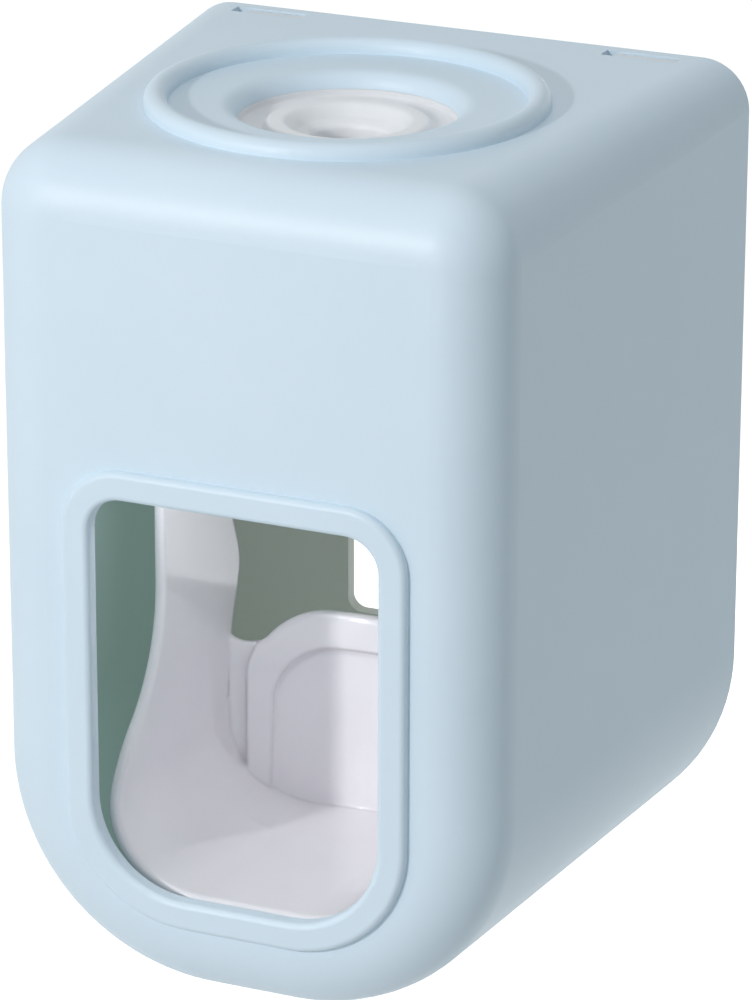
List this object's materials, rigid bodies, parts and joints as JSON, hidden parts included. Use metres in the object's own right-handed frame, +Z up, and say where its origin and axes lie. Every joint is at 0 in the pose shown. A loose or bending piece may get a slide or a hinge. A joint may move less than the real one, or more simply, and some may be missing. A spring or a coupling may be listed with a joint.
{
  "type": "toothpaste dispenser",
  "caption": "Wall-hung dispenser with a tube inlet on top and a front window; a brush pushed in swings a sprung lever that squeezes a pump bulb and lays paste on the brush.",
  "frame": {"origin": "middle of the adhesive face that sticks to the wall", "axes": "+X to the right of someone facing the dispenser, +Y into the wall, +Z up; the window looks along -Y"},
  "size_m": [0.08, 0.0742, 0.113],
  "materials": {
    "casing_blue": "satin moulded",
    "cover_white": "satin moulded",
    "plate_white": "satin moulded",
    "foam_tape": "foam tape",
    "silicone_white": "silicone",
    "silicone_clear": "milky silicone",
    "inner_white": "moulded",
    "seal_black": "rubber",
    "steel": "drawn wire and turned pin",
    "lever_white": "polished moulded",
    "washer_nylon": "nylon"
  },
  "bodies": {
    "wall_mount": {"wall_plate": "plate_white", "adhesive_pad": "foam_tape"},
    "dispenser": {"front_casing": "casing_blue", "back_cover": "cover_white", "inlet_collar": "silicone_white", "inlet_seat": "inner_white", "inlet_valve": "silicone_clear", "pump_bulb": "silicone_clear", "outlet_valve": "silicone_clear", "outlet_nozzle": "inner_white", "nozzle_seal": "seal_black", "nozzle_nut": "inner_white", "pump_frame": "inner_white", "frame_screws": "steel", "return_springs": "steel", "pivot_pin": "steel", "pin_clips": "steel", "pivot_washers": "washer_nylon", "stop_bumpers": "seal_black"},
    "lever": {"push_lever": "lever_white", "squeeze_plate": "lever_white"}
  },
  "joints": [
    {"name": "hang_lift", "type": "slide", "parent": "wall_mount", "child": "dispenser", "axis": [0, 0, 1], "range_m": [0, 0.0065]},
    {"name": "lever_swing", "type": "hinge", "parent": "dispenser", "child": "lever", "pos_m": [0, -0.0525, 0.022], "axis": [1, 0, 0], "range_deg": [0, 13], "stiffness_Nm_per_rad": 0.8, "springref_deg": -5.73, "deforming": ["pump_bulb", "return_springs"]}
  ]
}
